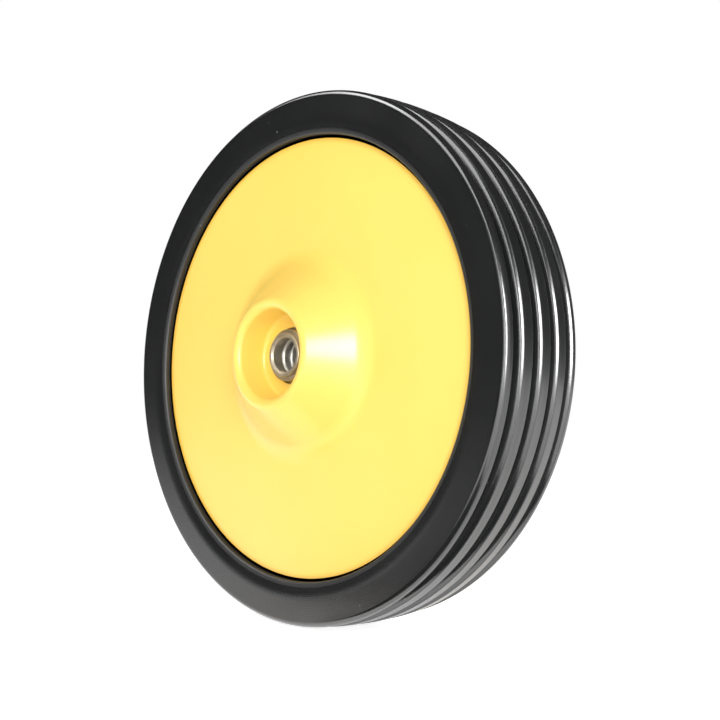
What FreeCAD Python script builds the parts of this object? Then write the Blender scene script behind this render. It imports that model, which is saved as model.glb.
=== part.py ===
import FreeCAD, Part
import math
import os
from FreeCAD import Vector

# Lawn mower wheel: a ribbed rubber tyre held between two pressed-steel discs,
# turning on two ball bearings in a hub tube. Millimetres. The wheel's centre is
# the origin and the axle runs along Y. The two sides are alike, so every paired
# piece is drawn on the +Y side and turned half round Z for the front.

# Tyre
tread_radius = 100.0
tread_crown = 1.2
tyre_section = 16.9
groove_count = 4
groove_width = 5.2
groove_floor_width = 1.6
groove_depth = 3.6
groove_root_radius = 0.8
groove_flare_width = 0.7
groove_flare_depth = 0.9
groove_flare_radius = 3.0
rib_width = 4.2
rib_edge_radius = 0.5
shoulder_width = 2.9
shoulder_radius = 2.0
sidewall_band = 10.4
sidewall_dish = 0.35
sidewall_crease_radius = 60.0
lip_height = 2.5
lip_edge_radius = 1.1

# Pressed-steel discs
sheet = 1.2
disc_inset = 4.0
rim_cover = 2.1
rim_bend = 2.0
rim_drop = 7.6
rim_joint_bend = 2.5
rim_joint_width = 6.5
boss_base_radius = 36.2
boss_flank_angle = 45.0
boss_base_fillet = 12.0
boss_crest_radius = 2.5
boss_floor_margin = 1.71
boss_floor_rise = 3.6
boss_floor_bend = 1.4
boss_wall_draft = 3.0

# Bearings
axle_bore = 12.7
bearing_outside = 28.575
bearing_width = 7.94
ball_diameter = 3.969
ball_play = 0.05
race_groove_depth = 0.9
race_conformity = 0.53
race_mouth_radius = 1.4
outer_ring_edge = 0.4
shield_thickness = 0.4
shield_setback = 0.3
shield_bite = 1.1
shield_clearance = 0.25

# Hub and axle pieces
hub_wall = 1.6
sleeve_bore_clearance = 0.25
sleeve_wall = 2.0
collar_length = 5.57
collar_nose_wall = 1.92
collar_nose_length = 1.45
collar_nose_chamfer = 0.3
collar_bore_chamfer = 0.7
collar_flange_step = 1.43
collar_foot_step = 0.6
collar_foot_length = 0.6
collar_hole_clearance = 0.9

# Share of a straight run that the bends at its two ends may take up
run_in_bends = 0.98

# Worked out from the sizes above
half_width = (groove_count * groove_width + (groove_count - 1) * rib_width) / 2 + shoulder_width
disc_face = half_width - disc_inset
lip_radius = tread_radius - tyre_section
rim_radius = lip_radius + rim_cover
rim_throat = rim_radius - rim_drop
boss_floor = disc_face + boss_floor_rise
bearing_face = boss_floor - sheet
ball_plane = bearing_face - bearing_width / 2
bearing_back = bearing_face - bearing_width
nose_face = bearing_face + collar_length
bore_radius = axle_bore / 2
outer_ring_radius = bearing_outside / 2
boss_floor_radius = outer_ring_radius + boss_floor_margin
ball_radius = ball_diameter / 2
ball_pitch_radius = (bore_radius + outer_ring_radius) / 2
race_groove_radius = race_conformity * ball_diameter
race_groove_shift = race_groove_radius - ball_radius - ball_play
race_land_radius = ball_pitch_radius - ball_radius - ball_play + race_groove_depth
outer_land_radius = ball_pitch_radius + ball_radius + ball_play - race_groove_depth
shield_seat_radius = outer_land_radius + shield_bite
collar_nose_radius = bore_radius + collar_nose_wall
collar_flange_radius = collar_nose_radius + collar_flange_step
collar_foot_radius = race_land_radius - collar_foot_step
centre = Vector(0, 0, 0)
axle = Vector(0, 1, 0)


def bend_reaches(points, bends):
    """Length that each bend takes from its two runs; bends that would meet on a run give way."""
    count = len(points)
    reaches = []
    for i in range(count):
        back = points[i - 1] - points[i]
        ahead = points[(i + 1) % count] - points[i]
        reaches.append(bends[i] / math.tan(back.getAngle(ahead) / 2))
    shares = []
    for i in range(count):
        room = run_in_bends * (points[(i + 1) % count] - points[i]).Length
        taken = reaches[i] + reaches[(i + 1) % count]
        shares.append(1.0 if taken < room else room / taken)
    return [reaches[i] * min(shares[i - 1], shares[i]) for i in range(count)]


def rounded_edges(corners, closed):
    """Straight runs through the corners (radius, y, bend), with a tangent arc at each bend."""
    count = len(corners)
    points = [Vector(radius, y, 0) for radius, y, bend in corners]
    reaches = bend_reaches(points, [bend for radius, y, bend in corners])
    entries = []
    exits = []
    edges = []
    for i in range(count):
        back = (points[i - 1] - points[i]).normalize()
        ahead = (points[(i + 1) % count] - points[i]).normalize()
        entries.append(points[i] + back * reaches[i])
        exits.append(points[i] + ahead * reaches[i])
        if reaches[i] > 0:
            half_angle = back.getAngle(ahead) / 2
            depth = reaches[i] * (1 - math.sin(half_angle)) / math.cos(half_angle)
            middle = points[i] + (back + ahead).normalize() * depth
            edges.append(Part.Arc(entries[i], middle, exits[i]).toShape())
    for i in range(count if closed else count - 1):
        edges.append(Part.LineSegment(exits[i], entries[(i + 1) % count]).toShape())
    return Part.__sortEdges__(edges)


def section(corners):
    """Flat face inside a closed outline of corners."""
    return Part.Face(Part.Wire(rounded_edges(corners, True)))


def turned(face):
    """Solid of revolution of a section about the axle."""
    return face.revolve(centre, axle, 360)


def save(name, shape):
    """Write one piece, or a group of like pieces, as its own file."""
    shape.exportStep(os.path.join("parts", name + ".step"))
    print(name, len(shape.Solids), "solid(s)", round(shape.Volume, 1), "mm3", shape.isValid())


def save_pair(name, shape):
    """Write the rear piece as drawn and the front piece turned half round."""
    save("rear_" + name, shape)
    save("front_" + name, shape.rotated(centre, Vector(0, 0, 1), 180))


def crown(y):
    """Radius of the tread over the ribs: highest in the middle, a little lower at the shoulders."""
    return tread_radius - tread_crown * (y / half_width) ** 2


def tread_corners():
    """Corners of the ribs and flared grooves, from the front shoulder to the rear one."""
    corners = [(crown(half_width), -half_width, shoulder_radius)]
    for i in range(groove_count):
        middle = (i - (groove_count - 1) / 2) * (groove_width + rib_width)
        root = crown(middle) - groove_depth
        start = middle - groove_width / 2
        end = middle + groove_width / 2
        corners.append((crown(start), start, rib_edge_radius))
        corners.append((crown(start) - groove_flare_depth, start + groove_flare_width, groove_flare_radius))
        corners.append((root, middle - groove_floor_width / 2, groove_root_radius))
        corners.append((root, middle + groove_floor_width / 2, groove_root_radius))
        corners.append((crown(end) - groove_flare_depth, end - groove_flare_width, groove_flare_radius))
        corners.append((crown(end), end, rib_edge_radius))
    corners.append((crown(half_width), half_width, shoulder_radius))
    return corners


def sidewall_corners(side):
    """Corners from the tread down to the disc: flat band, soft crease, dished lip and its edge."""
    crease = tread_radius - tread_crown - sidewall_band
    return [
        (crease, side * (half_width - sidewall_dish), sidewall_crease_radius),
        (lip_radius, side * (disc_face + lip_height), lip_edge_radius),
        (lip_radius, side * (disc_face - sheet), 0),
    ]


def rim_section():
    """Outline of the two joined rims that the tyre is stretched over."""
    inside = rim_throat - rim_joint_width
    return section([
        (inside, -disc_face, 0),
        (rim_radius, -disc_face, rim_bend),
        (rim_throat, 0, 0),
        (rim_radius, disc_face, rim_bend),
        (inside, disc_face, 0),
    ])


def make_tyre():
    """One rubber moulding: ribbed tread, plain sidewalls and a seat cut to the shape of the rims."""
    front = sidewall_corners(-1)
    rear = sidewall_corners(1)
    inside = [(rim_throat, disc_face - sheet, 0), (rim_throat, sheet - disc_face, 0)]
    outline = front[::-1] + tread_corners() + rear + inside
    return turned(section(outline).cut(rim_section()).Faces[0])


def make_disc():
    """Pressed sheet drawn as its outer line and thickened inwards: boss floor, crest, face, rim, joint."""
    flank = math.tan(math.radians(boss_flank_angle))
    draft = math.tan(math.radians(boss_wall_draft))
    climb = (boss_base_radius - boss_floor_radius) * flank - boss_floor_rise
    crest_rise = climb / (1 + draft * flank)
    hole_radius = collar_flange_radius + collar_hole_clearance
    line = [
        (hole_radius, boss_floor, 0),
        (boss_floor_radius, boss_floor, boss_floor_bend),
        (boss_floor_radius + crest_rise * draft, boss_floor + crest_rise, boss_crest_radius),
        (boss_base_radius, disc_face, boss_base_fillet),
        (rim_radius, disc_face, rim_bend),
        (rim_throat, 0, rim_joint_bend),
        (rim_throat - rim_joint_width, 0, 0),
    ]
    outer = Part.Wire(rounded_edges(line, False))
    return turned(outer.makeOffset2D(sheet, 0, True, True))


def make_hub_tube():
    """Plain tube between the backs of the two boss floors, bored for the bearings."""
    outside = outer_ring_radius + hub_wall
    return turned(section([
        (outer_ring_radius, -bearing_face, 0),
        (outer_ring_radius, bearing_face, 0),
        (outside, bearing_face, 0),
        (outside, -bearing_face, 0),
    ]))


def make_sleeve():
    """Distance sleeve between the inner races of the two bearings."""
    bore = bore_radius + sleeve_bore_clearance
    outside = bore + sleeve_wall
    return turned(section([
        (bore, -bearing_back, 0),
        (bore, bearing_back, 0),
        (outside, bearing_back, 0),
        (outside, -bearing_back, 0),
    ]))


def make_collar():
    """Turned collar on the axle: chamfered nose, wide flange in the boss hole, foot on the race."""
    flange_front = nose_face - collar_nose_length
    flange_back = bearing_face + collar_foot_length
    edge = collar_nose_chamfer
    return turned(section([
        (bore_radius, bearing_face, race_mouth_radius),
        (bore_radius, nose_face - collar_bore_chamfer, 0),
        (bore_radius + collar_bore_chamfer, nose_face, 0),
        (collar_nose_radius - edge, nose_face, 0),
        (collar_nose_radius, nose_face - edge, 0),
        (collar_nose_radius, flange_front, 0),
        (collar_flange_radius - edge, flange_front, 0),
        (collar_flange_radius, flange_front - edge, 0),
        (collar_flange_radius, flange_back, 0),
        (collar_foot_radius, flange_back, 0),
        (collar_foot_radius, bearing_face, 0),
    ]))


def race_groove(shift):
    """Ring-shaped tool for a ball groove, its centre line moved off the ball circle by the shift."""
    place = Vector(0, ball_plane, 0)
    return Part.makeTorus(ball_pitch_radius + shift, race_groove_radius, place, axle)


def make_race_half(start, end):
    """Half of the split inner race between two planes, with round mouths and its share of the groove."""
    ring = turned(section([
        (bore_radius, start, race_mouth_radius),
        (bore_radius, end, race_mouth_radius),
        (race_land_radius, end, 0),
        (race_land_radius, start, 0),
    ]))
    return ring.cut(race_groove(race_groove_shift))


def make_outer_ring():
    """Outer ring with a ball groove and a step for a shield at each end."""
    step = shield_setback + shield_thickness
    ring = turned(section([
        (outer_land_radius, bearing_back + step, 0),
        (outer_land_radius, bearing_face - step, 0),
        (shield_seat_radius, bearing_face - step, 0),
        (shield_seat_radius, bearing_face, 0),
        (outer_ring_radius, bearing_face, outer_ring_edge),
        (outer_ring_radius, bearing_back, outer_ring_edge),
        (shield_seat_radius, bearing_back, 0),
        (shield_seat_radius, bearing_back + step, 0),
    ]))
    return ring.cut(race_groove(-race_groove_shift))


def make_shield(start):
    """Thin flat ring pressed into the outer ring's step, clear of the inner race."""
    inside = race_land_radius + shield_clearance
    return turned(section([
        (inside, start, 0),
        (inside, start + shield_thickness, 0),
        (shield_seat_radius, start + shield_thickness, 0),
        (shield_seat_radius, start, 0),
    ]))


def make_balls():
    """Full row of balls: as many as the ball circle holds side by side."""
    count = int(math.pi / math.asin(ball_radius / ball_pitch_radius))
    balls = []
    for i in range(count):
        angle = 2 * math.pi * i / count
        place = Vector(math.cos(angle), 0, math.sin(angle)) * ball_pitch_radius
        balls.append(Part.makeSphere(ball_radius, place + axle * ball_plane))
    return Part.makeCompound(balls)


os.makedirs("parts", exist_ok=True)
save("tyre", make_tyre())
save("hub_tube", make_hub_tube())
save("spacer_sleeve", make_sleeve())
save_pair("disc", make_disc())
save_pair("axle_collar", make_collar())
save_pair("outboard_race", make_race_half(ball_plane, bearing_face))
save_pair("inboard_race", make_race_half(bearing_back, ball_plane))
save_pair("outer_ring", make_outer_ring())
save_pair("balls", make_balls())
save_pair("outboard_shield", make_shield(bearing_face - shield_setback - shield_thickness))
save_pair("inboard_shield", make_shield(bearing_back + shield_setback))
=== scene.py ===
# %% [markdown]
# # A lawn mower wheel
# A solid rubber tyre with five ribs is held between two pressed-steel discs. The discs carry a hub
# tube with two ball bearings, and a turned collar keeps each bearing in its place on the axle.
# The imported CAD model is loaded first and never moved. It is the frame that every piece is built on.

# %% Load the frame
import math
import bpy
import numpy as np
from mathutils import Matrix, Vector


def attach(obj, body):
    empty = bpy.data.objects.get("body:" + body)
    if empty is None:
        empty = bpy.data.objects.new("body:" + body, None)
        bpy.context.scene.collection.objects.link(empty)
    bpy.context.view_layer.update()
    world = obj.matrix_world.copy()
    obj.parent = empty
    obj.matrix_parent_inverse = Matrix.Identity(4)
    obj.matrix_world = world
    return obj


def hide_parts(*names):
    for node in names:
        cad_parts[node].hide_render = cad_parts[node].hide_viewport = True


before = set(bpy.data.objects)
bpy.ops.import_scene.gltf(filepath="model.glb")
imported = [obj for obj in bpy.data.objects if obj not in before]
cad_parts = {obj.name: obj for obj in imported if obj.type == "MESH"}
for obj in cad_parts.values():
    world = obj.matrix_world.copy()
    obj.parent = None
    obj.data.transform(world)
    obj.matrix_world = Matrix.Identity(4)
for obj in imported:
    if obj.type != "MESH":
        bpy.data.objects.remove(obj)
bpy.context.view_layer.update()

# %% [markdown]
# ## Sizes
# The sizes repeat the ones that the CAD model was drawn with, in metres. The axle runs along Y, and
# a piece is described by its radius from the axle and its place across the wheel, y. The sizes could
# be measured on the CAD meshes, but named values keep every bend exact. One bend differs: the crease
# of the sidewall is a little crisper than in the CAD model, by a quarter of a millimetre at most, so
# that it ends before the lip's bend begins.

# %% Sizes of the tyre
mm = 0.001
tread_radius = 100.0 * mm
tread_crown = 1.2 * mm
half_width = 19.6 * mm
groove_pitch = 9.4 * mm
groove_width = 5.2 * mm
groove_floor_width = 1.6 * mm
groove_depth = 3.6 * mm
groove_root_bend = 0.8 * mm
flare_width = 0.7 * mm
flare_depth = 0.9 * mm
flare_bend = 3.0 * mm
rib_edge_bend = 0.5 * mm
shoulder_bend = 2.0 * mm
crease_radius = 88.4 * mm
crease_place = 19.25 * mm
crease_bend = 18.0 * mm
lip_radius = 83.1 * mm
lip_place = 18.1 * mm
lip_bend = 1.1 * mm
seat_gap = 0.02 * mm
print("tyre", 2 * tread_radius, "m across and", 2 * half_width, "m wide")

# %% Sizes of the discs
sheet = 1.2 * mm
disc_face = 15.6 * mm
rim_radius = 85.2 * mm
rim_bend = 2.0 * mm
rim_throat = 77.6 * mm
rim_joint_bend = 2.5 * mm
rim_joint_radius = 71.1 * mm
boss_base_radius = 36.2 * mm
boss_base_bend = 12.0 * mm
boss_crest_bend = 2.5 * mm
boss_floor_radius = 16.0 * mm
boss_floor = 19.2 * mm
boss_floor_bend = 1.4 * mm
boss_wall_draft = math.radians(3.0)
boss_hole_radius = 10.6 * mm
print("discs of", sheet, "m sheet with a boss", 2 * boss_base_radius, "m across")

# %% Sizes of the collars and bearings
bore_radius = 6.35 * mm
bearing_face = 18.0 * mm
ball_plane = 14.03 * mm
bearing_back = 10.06 * mm
mouth_bend = 1.4 * mm
race_land_radius = 9.184 * mm
race_groove_bottom = 8.284 * mm
race_groove_bend = 0.9 * mm
race_groove_reach = 1.78 * mm
nose_face = 23.57 * mm
nose_radius = 8.27 * mm
nose_chamfer = 0.3 * mm
bore_chamfer = 0.7 * mm
flange_front = 22.12 * mm
flange_back = 18.6 * mm
flange_radius = 9.7 * mm
foot_radius = 8.584 * mm
sleeve_bore = 6.6 * mm
sleeve_outside = 8.6 * mm
print("bore", 2 * bore_radius, "m across")

# %% [markdown]
# ## Turned surfaces
# Almost everything on a wheel is round, so one tool makes all of it: a profile carried round the axle.
# Blender's Screw modifier could spin a curve, but then the bends would be only as smooth as the curve's
# steps. Here each corner of the profile becomes a true arc, and the normal at each point is known, so
# the light runs over the bends without a kink.

# %% Profile with rounded corners
edge_break = 0.06 * mm


def unit(vectors):
    """Each row divided by its own length."""
    return vectors / np.linalg.norm(vectors, axis=-1, keepdims=True)


def turn_between(first, second):
    """Sine of the turn from each row of directions to its row in the other: x1 y2 less y1 x2."""
    return first[:, 0] * second[:, 1] - first[:, 1] * second[:, 0]


def rounded_profile(corners, steps):
    """Points and outward normals of a closed profile whose corners (radius, y, bend) run anticlockwise.
    At each corner a circle of the bend's size touches both runs. The points are the circle's middle
    plus the bend times a direction that turns in even steps from one run's normal to the next.
    A corner without a bend gets a small broken edge."""
    corners = np.array(corners, float)
    points = corners[:, :2]
    bends = np.maximum(corners[:, 2], edge_break)
    ahead = unit(np.roll(points, -1, axis=0) - points)
    before = np.roll(ahead, 1, axis=0)
    turn = np.arctan2(turn_between(before, ahead), (before * ahead).sum(axis=1))
    inwards = unit(ahead - before)
    middles = points + inwards * (bends / np.cos(turn / 2))[:, None]
    start = np.arctan2(-before[:, 0], before[:, 1])
    angle = start[:, None] + turn[:, None] * np.linspace(0, 1, steps)
    normals = np.stack([np.cos(angle), np.sin(angle)], axis=2)
    arcs = middles[:, None] + normals * (np.sign(turn) * bends)[:, None, None]
    return arcs.reshape(-1, 2), normals.reshape(-1, 2)


def other_side(corners):
    """The same profile on the front half: y changes its sign, and the order turns round with it."""
    return [(radius, -y, bend) for radius, y, bend in reversed(corners)]


square = [(3.0, 1.0, 0.2), (2.0, 1.0, 0.2), (2.0, 0.0, 0.2), (3.0, 0.0, 0.2)]
print("test profile:", rounded_profile(square, steps=5)[0].shape[0], "points")

# %% Surface of revolution
def turned_piece(name, corners, steps, segments):
    """Surface P(u, a) = (r(u) cos a, y(u), r(u) sin a): the profile r, y carried once round the axle.
    Both ways close on themselves, so there is no seam and no pole. The normal turns with the angle."""
    profile, profile_normals = rounded_profile(corners, steps)
    angle = np.linspace(0, 2 * np.pi, segments, endpoint=False)
    spin = np.stack([np.cos(angle), np.ones(segments), np.sin(angle)], axis=1)
    points = (profile[:, None, [0, 1, 0]] * spin).reshape(-1, 3)
    normals = (profile_normals[:, None, [0, 1, 0]] * spin).reshape(-1, 3)
    number = np.arange(len(points)).reshape(len(profile), segments)
    along = np.roll(number, -1, axis=0)
    quads = np.stack([number, along, np.roll(along, -1, axis=1), np.roll(number, -1, axis=1)], axis=2)
    quads = quads.reshape(-1, 4)
    mesh = bpy.data.meshes.new(name)
    mesh.vertices.add(len(points))
    mesh.vertices.foreach_set("co", points.ravel())
    mesh.loops.add(quads.size)
    mesh.loops.foreach_set("vertex_index", quads.ravel())
    mesh.polygons.add(len(quads))
    mesh.polygons.foreach_set("loop_start", np.arange(0, quads.size, 4))
    mesh.polygons.foreach_set("use_smooth", np.ones(len(quads), bool))
    mesh.update(calc_edges=True)
    mesh.normals_split_custom_set_from_vertices(normals)
    piece = bpy.data.objects.new(name, mesh)
    bpy.context.scene.collection.objects.link(piece)
    print(name, 2 * len(quads), "triangles")
    return piece


def dress(piece, node, body, material):
    """Puts a finished piece in the place of its CAD node: it rides on the body and takes the finish."""
    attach(piece, body)
    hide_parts(node)
    piece.data.materials.append(material)


print("turning tools ready")

# %% [markdown]
# ## Node helpers
# A material is a small network of nodes. It could be wired by hand in Blender's editor, but a script
# builds the same network every time. One helper adds a node, sets its options and links its inputs, so
# the materials below read as lists of what each step does.

# %% Nodes
def wire(tree, node, inputs):
    """Sets a node's inputs. A value is plain, or it is an output socket to link from."""
    for name, value in inputs.items():
        if isinstance(value, bpy.types.NodeSocket):
            tree.links.new(value, node.inputs[name])
        else:
            node.inputs[name].default_value = value


def add(tree, kind, inputs=None, **options):
    """Adds a node, sets its options and wires its inputs."""
    node = tree.nodes.new(kind)
    for name, value in options.items():
        setattr(node, name, value)
    wire(tree, node, inputs or {})
    return node


def work_out(tree, operation, *values):
    """One Math node: the operation on one, two or three values."""
    return add(tree, "ShaderNodeMath", dict(enumerate(values)), operation=operation).outputs[0]


def ramp(tree, value, low, high, to_low=0.0, to_high=1.0):
    """A value moved smoothly from one range to another, with the ends held."""
    ranges = {"Value": value, "From Min": low, "From Max": high, "To Min": to_low, "To Max": to_high}
    return add(tree, "ShaderNodeMapRange", ranges, interpolation_type="SMOOTHSTEP").outputs["Result"]


def mix(tree, share, first, second):
    """A colour between two colours. In a Mix node, the inputs 6 and 7 and the output 2 are colours."""
    return add(tree, "ShaderNodeMix", {0: share, 6: first, 7: second}, data_type="RGBA").outputs[2]


def streaks(tree, along, scale):
    """Noise that changes only along one value, which gives lines across it."""
    return add(tree, "ShaderNodeTexNoise", {"W": along, "Scale": scale, "Detail": 2.0},
               noise_dimensions="1D").outputs["Fac"]


print("node helpers ready")

# %% Materials and groups
def new_material(name):
    """An empty material, its node tree and its shader."""
    material = bpy.data.materials.new(name)
    material.use_nodes = True
    return material, material.node_tree, material.node_tree.nodes["Principled BSDF"]


def object_place(tree):
    """The Object coordinates that the patterns of a piece are set on."""
    return add(tree, "ShaderNodeTexCoord").outputs["Object"]


def new_group(name, inputs, outputs):
    """An empty shader node group with a place and some numbers for inputs, and numbers for outputs."""
    group = bpy.data.node_groups.new(name, "ShaderNodeTree")
    group.interface.new_socket("Place", in_out="INPUT", socket_type="NodeSocketVector")
    for socket in inputs:
        group.interface.new_socket(socket, in_out="INPUT", socket_type="NodeSocketFloat")
    for socket in outputs:
        group.interface.new_socket(socket, in_out="OUTPUT", socket_type="NodeSocketFloat")
    return group, group.nodes.new("NodeGroupInput").outputs, group.nodes.new("NodeGroupOutput")


def use_group(tree, group, inputs):
    """Places a node group in a material."""
    return add(tree, "ShaderNodeGroup", inputs, node_tree=group).outputs


print("material helpers ready")

# %% [markdown]
# ## Shared effects
# Ring coordinates give the radius from the axle and the place across the wheel. Fine grain is the
# texture that moulds, spray guns and tools leave. Every finish uses both. Dust is a sparse field of
# specks with a thin film, as on a new wheel that has stood on a shelf, and lies on the rubber. Each
# could be wired anew in every material, but a node group is built once and placed with other values.

# %% Ring coordinates
ring_group, given, result = new_group("ring_coordinates", [], ["Radius", "Across"])
parts = add(ring_group, "ShaderNodeSeparateXYZ", {"Vector": given["Place"]}).outputs
flat = add(ring_group, "ShaderNodeCombineXYZ", {"X": parts["X"], "Z": parts["Z"]}).outputs["Vector"]
radius = add(ring_group, "ShaderNodeVectorMath", {0: flat}, operation="LENGTH").outputs["Value"]
wire(ring_group, result, {"Radius": radius, "Across": parts["Y"]})
print("group:", ring_group.name)

# %% Dust
largest_speck = 0.12
dust_group, given, result = new_group("shelf_dust", ["Spacing", "Amount"], ["Specks", "Film"])
cells = add(dust_group, "ShaderNodeTexVoronoi", {"Vector": given["Place"], "Scale": given["Spacing"],
            "Randomness": 1.0}, feature="F1").outputs
chance = add(dust_group, "ShaderNodeSeparateColor", {"Color": cells["Color"]}).outputs["Red"]
bare_share = work_out(dust_group, "SUBTRACT", 1.0, given["Amount"])
speck_size = ramp(dust_group, chance, bare_share, 1.0, 0.0, largest_speck)
specks = work_out(dust_group, "LESS_THAN", cells["Distance"], speck_size)
cloud = add(dust_group, "ShaderNodeTexNoise", {"Vector": given["Place"], "Scale": 26.0, "Detail": 2.0,
            "Roughness": 0.5}).outputs["Fac"]
wire(dust_group, result, {"Specks": specks, "Film": ramp(dust_group, cloud, 0.2, 0.9)})
print("group:", dust_group.name)

# %% Fine grain
grain_group, given, result = new_group("fine_grain", ["Scale"], ["Height"])
grain = add(grain_group, "ShaderNodeTexNoise", {"Vector": given["Place"], "Scale": given["Scale"],
            "Detail": 3.0, "Roughness": 0.55}).outputs["Fac"]
wire(grain_group, result, {"Height": grain})
print("group:", grain_group.name)

# %% [markdown]
# ## Tyre rubber
# Moulded rubber is nearly black. The sidewall is smooth, with faint rings from the turned mould. The
# rounded edges of the ribs are polished and mirror the lamps as bright lines, while the tops of the
# ribs are streaked and duller, and so is the lip beside the disc. A few pale specks of dust lie on it.
# Image textures could hold all of this. Masks worked out from the radius and the place across the
# wheel follow the profile exactly instead, and stay sharp at any distance.

# %% Rubber colour
rubber_black = (0.0075, 0.008, 0.0083, 1)
rubber_filmed = (0.022, 0.022, 0.022, 1)
dust_pale = (0.16, 0.16, 0.155, 1)
film_share = 0.15
rubber, tree, shader = new_material("moulded_rubber")
place = object_place(tree)
ring = use_group(tree, ring_group, {"Place": place})
dust = use_group(tree, dust_group, {"Place": place, "Spacing": 420.0, "Amount": 0.10})
film = work_out(tree, "MULTIPLY", dust["Film"], film_share)
colour = mix(tree, film, rubber_black, rubber_filmed)
wire(tree, shader, {"Base Color": mix(tree, dust["Specks"], colour, dust_pale)})
print("material:", rubber.name)

# %% Masks of the tyre's zones
across_squared = work_out(tree, "POWER", ring["Across"], 2.0)
bulge = work_out(tree, "MULTIPLY", across_squared, tread_crown / half_width ** 2)
level_radius = work_out(tree, "ADD", ring["Radius"], bulge)
off_middle = work_out(tree, "ABSOLUTE", ring["Across"])
rib_top = ramp(tree, level_radius, tread_radius - 0.5 * mm, tread_radius - 0.1 * mm)
out_of_groove = ramp(tree, level_radius, tread_radius - 1.9 * mm, tread_radius - 1.1 * mm)
lip = ramp(tree, ring["Radius"], lip_radius + 1.2 * mm, lip_radius + 2.4 * mm, 1.0, 0.0)
beside_tread = ramp(tree, off_middle, half_width - 2.4 * mm, half_width - 1.4 * mm)
below_shoulder = ramp(tree, ring["Radius"], tread_radius - 4.0 * mm, tread_radius - 2.8 * mm, 1.0, 0.0)
side = work_out(tree, "MULTIPLY", beside_tread, below_shoulder)
print("masks: rib tops, grooves, lip and sidewall")

# %% Rubber gloss
clean_roughness = 0.18
filmed_roughness = 0.21
dullest = 0.2
side_dullness = 0.25
lip_dullness = 1.6
streak_scale = 1400.0
tread_streaks = ramp(tree, streaks(tree, ring["Across"], streak_scale), 0.3, 0.7, 0.2, 1.0)
rib_wear = work_out(tree, "MULTIPLY", rib_top, tread_streaks)
dull = work_out(tree, "MAXIMUM", rib_top, work_out(tree, "MULTIPLY", lip, lip_dullness))
dull = work_out(tree, "MAXIMUM", work_out(tree, "MULTIPLY", side, side_dullness), dull)
filmed = ramp(tree, dust["Film"], 0.0, 1.0, clean_roughness, filmed_roughness)
rough = work_out(tree, "ADD", work_out(tree, "MULTIPLY", dull, dullest), filmed)
polish = work_out(tree, "SUBTRACT", out_of_groove, rib_wear)
wire(tree, shader, {"Roughness": rough, "Coat Weight": polish, "Coat Roughness": 0.18,
                    "Specular IOR Level": 0.85})
print("gloss of", rubber.name)

# %% Mould rings and grain
mould_ring_rate = 9000.0
mould_ring_share = 0.12
grain = use_group(tree, grain_group, {"Place": place, "Scale": 1500.0})["Height"]
mould_rings = work_out(tree, "SINE", work_out(tree, "MULTIPLY", ring["Radius"], mould_ring_rate))
height = work_out(tree, "MULTIPLY_ADD", mould_rings, mould_ring_share, grain)
bump = add(tree, "ShaderNodeBump", {"Height": height, "Strength": 0.12, "Distance": 0.2 * mm})
wire(tree, shader, {"Normal": bump.outputs["Normal"]})
print("a mould ring every", 2 * math.pi / mould_ring_rate, "m")

# %% [markdown]
# ## Tyre
# The tyre is one moulding. Its profile runs down the rear sidewall, along the seat that grips the rims,
# up the front sidewall, and over five ribs and four grooves. The grooves could be cut into a plain ring
# with booleans, but their edges and flares are bends like any other. Each groove is six corners, so the
# tread is worked out from one groove and repeated.

# %% Tread
def crown(y):
    """Radius of the ribs: the tread's radius less a small parabola across the width."""
    return tread_radius - tread_crown * (y / half_width) ** 2


def groove_corners(middle):
    """Six corners of one groove, from front to rear: edge, flare, floor, floor, flare, edge."""
    floor_radius = crown(middle) - groove_depth
    front_edge = middle - groove_width / 2
    rear_edge = middle + groove_width / 2
    return [(crown(front_edge), front_edge, rib_edge_bend),
            (crown(front_edge) - flare_depth, front_edge + flare_width, flare_bend),
            (floor_radius, middle - groove_floor_width / 2, groove_root_bend),
            (floor_radius, middle + groove_floor_width / 2, groove_root_bend),
            (crown(rear_edge) - flare_depth, rear_edge - flare_width, flare_bend),
            (crown(rear_edge), rear_edge, rib_edge_bend)]


tread = sum([groove_corners(step * groove_pitch) for step in (-1.5, -0.5, 0.5, 1.5)], [])
print("tread of", len(tread), "corners")

# %% Sidewalls and tyre
sidewall = [(crown(half_width), half_width, shoulder_bend),
            (crease_radius, crease_place, crease_bend),
            (lip_radius, lip_place, lip_bend),
            (lip_radius, disc_face + seat_gap, 0),
            (rim_radius + seat_gap, disc_face + seat_gap, rim_bend)]
tyre_corners = tread + sidewall + [(rim_throat + seat_gap, 0, 0)] + other_side(sidewall)
tyre = turned_piece("ribbed_tyre", tyre_corners, steps=7, segments=400)
dress(tyre, "tyre", "wheel", rubber)

# %% [markdown]
# ## Yellow paint
# The discs are sprayed with glossy yellow enamel. In a narrow band beside the tyre's lip the colour turns
# amber and darker: this is painted shade, for the shadow that the lip casts on the edge of the disc. The
# rest is nearly one colour. One plain colour would do from afar, but a slight cloud in it and a slight
# ripple in the gloss keep the large smooth face from looking like plastic.

# %% Paint finish
yellow = (0.97, 0.655, 0.118, 1)
paler_yellow = (0.97, 0.675, 0.130, 1)
# Painted shade: a darker amber for the shadow of the tyre's lip on the disc's edge.
lip_shade_amber = (0.84, 0.44, 0.018, 1)
lip_shade_share = 0.85
smoothest, roughest = 0.36, 0.40
paint, tree, shader = new_material("yellow_enamel")
place = object_place(tree)
ring = use_group(tree, ring_group, {"Place": place})
ripple = use_group(tree, grain_group, {"Place": place, "Scale": 70.0})["Height"]
cloud = use_group(tree, grain_group, {"Place": place, "Scale": 18.0})["Height"]
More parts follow.
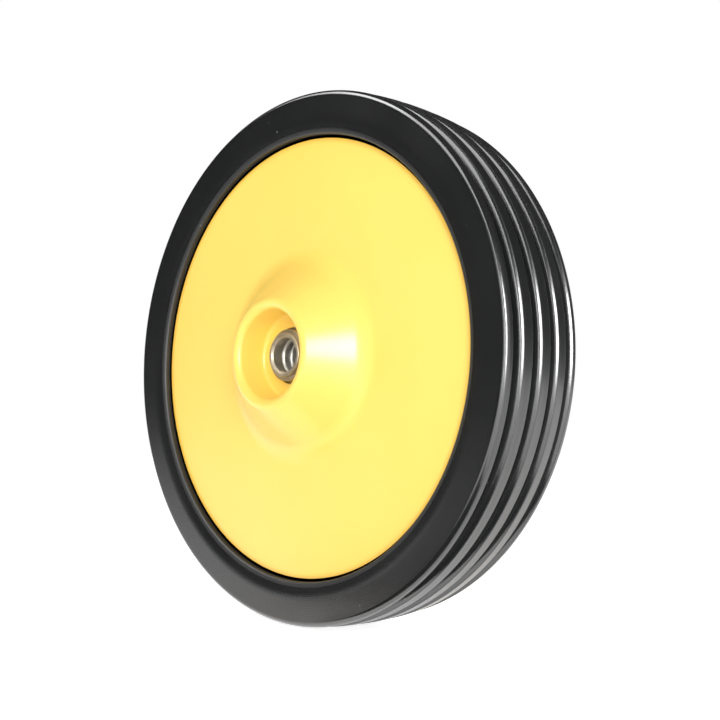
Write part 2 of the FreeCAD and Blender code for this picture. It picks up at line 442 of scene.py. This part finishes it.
# Painted shade: the colour turns darker and amber towards the lip, where the lip shades the disc.
lip_shade_band = ramp(tree, ring["Radius"], lip_radius - 3.4 * mm, lip_radius - 0.4 * mm)
colour = mix(tree, ramp(tree, cloud, 0.3, 0.7), yellow, paler_yellow)
colour = mix(tree, work_out(tree, "MULTIPLY", lip_shade_band, lip_shade_share), colour, lip_shade_amber)
rough = ramp(tree, ripple, 0.2, 0.8, smoothest, roughest)
wire(tree, shader, {"Base Color": colour, "Roughness": rough, "Coat Weight": 0.6, "Coat Roughness": 0.25})
print("material:", paint.name)

# %% [markdown]
# ## Pressed discs
# Each disc is one sheet. The outer line is drawn once: joint, rim, face, flared boss, crest and sunk
# floor. The inner line is the same line moved in by the sheet's thickness. A Solidify modifier could do
# that too, but the moved corners give exact bends on both faces.

# %% Bent sheet
def thickened(line, thickness):
    """Closed profile of a bent sheet. The inner corner is the outer one moved along the mitre, which is
    the sum of the two runs' normals over one plus their product. Bends grow or shrink by the thickness."""
    corners = np.array(line, float)
    points = corners[:, :2]
    ahead = unit(np.diff(points, axis=0))
    normals = np.stack([-ahead[:, 1], ahead[:, 0]], axis=1)
    first = np.concatenate([normals[:1], normals])
    second = np.concatenate([normals, normals[-1:]])
    mitre = (first + second) / (1 + (first * second).sum(axis=1, keepdims=True))
    tightens = turn_between(first, second) > 0
    bends = np.where(tightens, corners[:, 2] - thickness, corners[:, 2] + thickness)
    bends[[0, -1]] = 0
    inner = np.column_stack([points + mitre * thickness, bends])[::-1]
    return line + [tuple(corner) for corner in inner]


print("a flat strip has", len(thickened([(2.0, 0.0, 0), (1.0, 0.0, 0)], sheet)), "corners")

# %% Disc profile and pieces
wall_lean = math.tan(boss_wall_draft)
flank_run = boss_base_radius - boss_floor_radius
crest_rise = (flank_run - (boss_floor - disc_face)) / (1 + wall_lean)
crest = (boss_floor_radius + crest_rise * wall_lean, boss_floor + crest_rise, boss_crest_bend)
disc_line = [(rim_joint_radius, 0, 0),
             (rim_throat, 0, rim_joint_bend),
             (rim_radius, disc_face, rim_bend),
             (boss_base_radius, disc_face, boss_base_bend),
             crest,
             (boss_floor_radius, boss_floor, boss_floor_bend),
             (boss_hole_radius, boss_floor, 0)]
disc_corners = thickened(disc_line, sheet)
front_disc = turned_piece("front_pressed_disc", other_side(disc_corners), steps=9, segments=288)
rear_disc = turned_piece("rear_pressed_disc", disc_corners, steps=9, segments=288)
dress(front_disc, "front_disc", "wheel", paint)
dress(rear_disc, "rear_disc", "wheel", paint)

# %% [markdown]
# ## Steel
# The collars are turned from bar, so their faces carry fine tool rings and look dull. The races are
# ground and bright. The shader's anisotropy could stretch the highlights as tool marks do. Rings in a
# bump look right from close up too. All the metals are the same small network with other values.

# %% Steel finishes
stain_scale = 240.0
stain_darkness = 0.72
stain_roughness = 1.35


def steel(name, colour, roughness, ring_pitch, ring_depth, bareness):
    """Metal whose tool rings repeat by radius plus place across, so that faces and bores both show them."""
    material, tree, shader = new_material(name)
    place = object_place(tree)
    ring = use_group(tree, ring_group, {"Place": place})
    stain = use_group(tree, grain_group, {"Place": place, "Scale": stain_scale})["Height"]
    rings = streaks(tree, work_out(tree, "ADD", ring["Radius"], ring["Across"]), 1 / ring_pitch)
    bump = add(tree, "ShaderNodeBump", {"Height": rings, "Strength": ring_depth, "Distance": 0.05 * mm})
    darker = tuple(stain_darkness * part for part in colour)
    wire(tree, shader, {
        "Base Color": mix(tree, ramp(tree, stain, 0.3, 0.7), darker + (1,), colour + (1,)),
        "Roughness": ramp(tree, stain, 0.25, 0.75, roughness, stain_roughness * roughness),
        "Normal": bump.outputs["Normal"],
        "Metallic": bareness})
    print("material:", name)
    return material


turned_steel = steel("turned_steel", (0.46, 0.41, 0.31), roughness=0.34,
                     ring_pitch=0.22 * mm, ring_depth=0.5, bareness=0.7)
ground_steel = steel("ground_steel", (0.72, 0.69, 0.62), roughness=0.40,
                     ring_pitch=0.1 * mm, ring_depth=0.25, bareness=0.9)
ball_chrome = steel("ball_chrome", (0.80, 0.80, 0.81), roughness=0.07,
                    ring_pitch=0.8 * mm, ring_depth=0.05, bareness=1.0)
shield_plate = steel("shield_plate", (0.46, 0.45, 0.43), roughness=0.32,
                     ring_pitch=0.3 * mm, ring_depth=0.3, bareness=1.0)
tube_steel = steel("tube_steel", (0.50, 0.50, 0.49), roughness=0.34,
                   ring_pitch=0.4 * mm, ring_depth=0.4, bareness=1.0)

# %% [markdown]
# ## Collars
# A collar stands out of the hole in the boss floor. Its nose is chamfered inside and out, its flange
# fills the hole, and its foot rests on the bearing's inner race. It could be joined from cylinders with
# a Bevel modifier, but one turned profile gives the chamfers their exact sizes.

# %% Collar profile and pieces
collar_corners = [(foot_radius, bearing_face, 0), (foot_radius, flange_back, 0),
                  (flange_radius, flange_back, 0), (flange_radius, flange_front - nose_chamfer, 0),
                  (flange_radius - nose_chamfer, flange_front, 0), (nose_radius, flange_front, 0),
                  (nose_radius, nose_face - nose_chamfer, 0), (nose_radius - nose_chamfer, nose_face, 0),
                  (bore_radius + bore_chamfer, nose_face, 0), (bore_radius, nose_face - bore_chamfer, 0),
                  (bore_radius, bearing_face, mouth_bend)]
front_collar = turned_piece("front_turned_collar", other_side(collar_corners), steps=5, segments=192)
rear_collar = turned_piece("rear_turned_collar", collar_corners, steps=5, segments=192)
dress(front_collar, "front_axle_collar", "axle_side", turned_steel)
dress(rear_collar, "rear_axle_collar", "axle_side", turned_steel)

# %% [markdown]
# ## Inner races
# The inner race is split in two halves. Their rounded mouths show as bright rings inside the bore. The
# outer side of each half carries its share of the ball groove. A torus could be cut out of a tube for
# the groove, but as a bend in the profile it leaves each half one clean closed ring.

# %% Race profiles and pieces
outboard_corners = [(bore_radius, ball_plane, mouth_bend), (race_groove_bottom, ball_plane, 0),
                    (race_groove_bottom, ball_plane + race_groove_bend, race_groove_bend),
                    (race_land_radius, ball_plane + race_groove_reach, 0),
                    (race_land_radius, bearing_face, 0), (bore_radius, bearing_face, mouth_bend)]
inboard_corners = [(radius, 2 * ball_plane - y, bend) for radius, y, bend in reversed(outboard_corners)]
for half, corners in (("outboard", outboard_corners), ("inboard", inboard_corners)):
    front_half = turned_piece("front_%s_race_ring" % half, other_side(corners), steps=7, segments=192)
    rear_half = turned_piece("rear_%s_race_ring" % half, corners, steps=7, segments=192)
    dress(front_half, "front_%s_race" % half, "axle_side", ground_steel)
    dress(rear_half, "rear_%s_race" % half, "axle_side", ground_steel)

# %% [markdown]
# ## Hidden bearing pieces
# The sleeve between the races shows only to someone who looks straight through the bore. The balls,
# shields, outer rings and hub tube could be made anew as well, but nobody sees them, so they keep their
# CAD shapes and get finishes of their own.

# %% Sleeve and finishes of the hidden pieces
sleeve_corners = [(sleeve_outside, -bearing_back, 0), (sleeve_outside, bearing_back, 0),
                  (sleeve_bore, bearing_back, 0), (sleeve_bore, -bearing_back, 0)]
sleeve = turned_piece("spacer_tube", sleeve_corners, steps=3, segments=160)
dress(sleeve, "spacer_sleeve", "axle_side", tube_steel)
finishes = {"hub_tube": tube_steel}
for end in ("front_", "rear_"):
    finishes[end + "outer_ring"] = ground_steel
    finishes[end + "balls"] = ball_chrome
    finishes[end + "outboard_shield"] = shield_plate
    finishes[end + "inboard_shield"] = shield_plate
for node, material in finishes.items():
    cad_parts[node].data.materials.clear()
    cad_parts[node].data.materials.append(material)
print("finished", len(finishes), "hidden pieces")

# %% [markdown]
# ## Floor and background
# The wheel stands on a plain white floor. More light would make the floor white, but it would bleach the
# wheel too. Here the camera sees floor and background as white, and the floor still takes the wheel's
# soft shadow: part of its brightness is real light, and the rest is added only for rays from the
# camera, mirrors and glass.

# %% Floor
floor_half = 6.0
floor_place = -tread_radius
floor_soft_glow, floor_seen_glow = 0.45, 0.85
one_face = [(0, 1, 2, 3)]


def seen_directly(tree):
    """One for rays from the camera, from glossy surfaces and through glass, and none for soft light."""
    path = add(tree, "ShaderNodeLightPath").outputs
    seen = work_out(tree, "MAXIMUM", path["Is Camera Ray"], path["Is Glossy Ray"])
    return work_out(tree, "MAXIMUM", seen, path["Is Transmission Ray"])


floor_grid = np.array([(-1, -1, 0), (1, -1, 0), (1, 1, 0), (-1, 1, 0)], float) * floor_half
floor_mesh = bpy.data.meshes.new("studio_floor")
floor_mesh.from_pydata((floor_grid + (0, 0, floor_place)).tolist(), [], one_face)
floor = bpy.data.objects.new("studio_floor", floor_mesh)
bpy.context.scene.collection.objects.link(floor)
white, tree, shader = new_material("white_floor")
glow = ramp(tree, seen_directly(tree), 0.0, 1.0, floor_soft_glow, floor_seen_glow)
wire(tree, shader, {"Base Color": (0.8, 0.8, 0.8, 1), "Roughness": 0.9, "Specular IOR Level": 0.0,
                    "Emission Color": (1, 1, 1, 1), "Emission Strength": glow})
floor_mesh.materials.append(white)
print("floor", 2 * floor_half, "m across")

# %% Background
world_soft_glow, world_seen_glow = 0.6, 1.0
world = bpy.data.worlds.new("white_studio")
bpy.context.scene.world = world
world.use_nodes = True
tree = world.node_tree
glow = ramp(tree, seen_directly(tree), 0.0, 1.0, world_soft_glow, world_seen_glow)
wire(tree, tree.nodes["Background"], {"Color": (1, 1, 1, 1), "Strength": glow})
print("world:", world.name)

# %% [markdown]
# ## Lights
# The photograph shows soft light, mostly from the right, a small pale band on the boss, and bright lines
# along the ribs. One large lamp could give all of these, but it would whiten the rubber. So the work is
# shared, as with the lamps and flags of a studio. Fills give only soft light, also from behind. Strips
# and the small right light show only in reflections, and dark cards keep the rubber's other reflections
# dark. Light linking keeps the strips off the painted discs, where the photograph shows no such lines.

# %% Directions and cards
def towards(azimuth, elevation):
    """Direction from the wheel (sin a cos e, -cos a cos e, sin e): the azimuth a runs from the front face
    to the right, and the elevation e is above the floor."""
    turn, lift = math.radians(azimuth), math.radians(elevation)
    return Vector((math.sin(turn) * math.cos(lift), -math.cos(turn) * math.cos(lift), math.sin(lift)))


def hang_card(name, points):
    """A dark card with four given corners. Only reflections show it."""
    mesh = bpy.data.meshes.new(name)
    mesh.from_pydata(points.tolist(), [], one_face)
    mesh.materials.append(card_black)
    card = bpy.data.objects.new(name, mesh)
    bpy.context.scene.collection.objects.link(card)
    card.visible_camera = False
    card.visible_diffuse = False
    card.visible_shadow = False
    print("card:", name)


def upright_card(name, azimuth, distance, width, height, lift):
    """A dark upright card that faces the wheel, lifted off the floor: the place in its direction, plus
    half the width to either side, plus the height."""
    away = towards(azimuth, 0)
    across = np.array(away.cross(Vector((0, 0, 1))))
    corners = np.array([(-1, 0), (1, 0), (1, 1), (-1, 1)]) * (width / 2, height)
    points = np.array(away) * distance + corners[:, :1] * across + corners[:, 1:] * np.array((0, 0, 1))
    hang_card(name, points + (0, 0, floor_place + lift))


card_black, tree, shader = new_material("card_black")
wire(tree, shader, {"Base Color": (0.02, 0.02, 0.02, 1), "Roughness": 1.0})
print("material:", card_black.name)

# %% Dark cards
ceiling_height = 1.0
half_as_wide = (0.5, 0.5, 1)
over_floor = (0, 0, floor_place + 1.0 * mm)
wedge_near, wedge_far = 0.10, 3.0
wedge_right, wedge_left = towards(-10, 0), towards(-41, 0)
wedge = [wedge_right * wedge_near, wedge_right * wedge_far, wedge_left * wedge_far, wedge_left * wedge_near]
near_floor = [(0.0, -0.03, 0), (0.14, -0.02, 0), (0.14, -0.16, 0), (0.0, -0.16, 0)]
hang_card("ceiling_card", floor_grid * half_as_wide + (0, 0, ceiling_height))
upright_card("left_card", azimuth=-50, distance=1.2, width=1.6, height=1.5, lift=0.05)
upright_card("rear_card", azimuth=140, distance=1.2, width=1.4, height=1.2, lift=0.0)
# Painted shade: the two floor cards darken the floor in front of the wheel, but only in reflections.
hang_card("floor_card", np.array(wedge) + over_floor)
hang_card("near_floor_card", np.array(near_floor) + over_floor)

# %% Lamps
def softbox(name, azimuth, elevation, distance, width, height, watts, diffuse=True, glossy=True):
    """A rectangular lamp that stands off in a direction from the wheel and faces it. It may serve only
    soft light or only reflections."""
    lamp = bpy.data.lights.new(name, "AREA")
    lamp.shape = "RECTANGLE"
    lamp.size = width
    lamp.size_y = height
    lamp.energy = watts
    stand = bpy.data.objects.new(name, lamp)
    bpy.context.scene.collection.objects.link(stand)
    away = towards(azimuth, elevation)
    stand.location = away * distance
    stand.rotation_euler = away.to_track_quat("Z", "Y").to_euler()
    stand.visible_diffuse = diffuse
    stand.visible_glossy = glossy
    return stand


strips = [softbox("front_strip", azimuth=16, elevation=6.5, distance=1.1, width=0.24, height=0.44,
                  watts=1.9, diffuse=False),
          softbox("upper_strip", azimuth=16, elevation=28, distance=1.1, width=0.24, height=0.44,
                  watts=1.2, diffuse=False),
          softbox("high_strip", azimuth=-15, elevation=48, distance=1.1, width=0.9, height=0.58,
                  watts=5.8, diffuse=False),
          softbox("far_strip", azimuth=-46, elevation=50, distance=1.1, width=0.5, height=0.58,
                  watts=3.2, diffuse=False)]
softbox("right_light", azimuth=48, elevation=8, distance=0.8, width=0.16, height=0.32,
        watts=4.6, diffuse=False)
softbox("left_fill", azimuth=-50, elevation=8, distance=1.4, width=0.9, height=0.5,
        watts=1.9, glossy=False)
softbox("right_fill", azimuth=50, elevation=10, distance=1.0, width=0.5, height=0.5,
        watts=6.7, glossy=False)
softbox("high_fill", azimuth=10, elevation=55, distance=1.2, width=0.8, height=0.6,
        watts=1.0, glossy=False)
softbox("back_fill", azimuth=170, elevation=20, distance=1.4, width=1.0, height=0.6,
        watts=8.0, glossy=False)
print("lamps:", len(bpy.data.lights))

# %% Strips leave the paint alone
painted = bpy.data.collections.new("painted_discs")
for disc in (front_disc, rear_disc):
    painted.objects.link(disc)
for member in painted.collection_objects:
    member.light_linking.link_state = "EXCLUDE"
for strip in strips:
    strip.light_linking.receiver_collection = painted

# %% [markdown]
# ## Camera
# The camera stands a little below the axle, to the right of the front face, and looks slightly up. It
# could be set by eye, but the wheel's circles show as ellipses that fix its place and lens.

# %% Camera
camera_data = bpy.data.cameras.new("camera")
camera_data.lens = 51.0
camera_data.sensor_width = 36.0
camera = bpy.data.objects.new("camera", camera_data)
bpy.context.scene.collection.objects.link(camera)
camera.location = (0.2839, -0.2716, -0.0339)
looks_along = Vector((-0.6989, 0.7102, 0.0848))
camera.rotation_euler = looks_along.to_track_quat("-Z", "Y").to_euler()
bpy.context.scene.camera = camera
bpy.context.scene.view_settings.view_transform = "Standard"
print("camera lens", camera_data.lens, "mm")
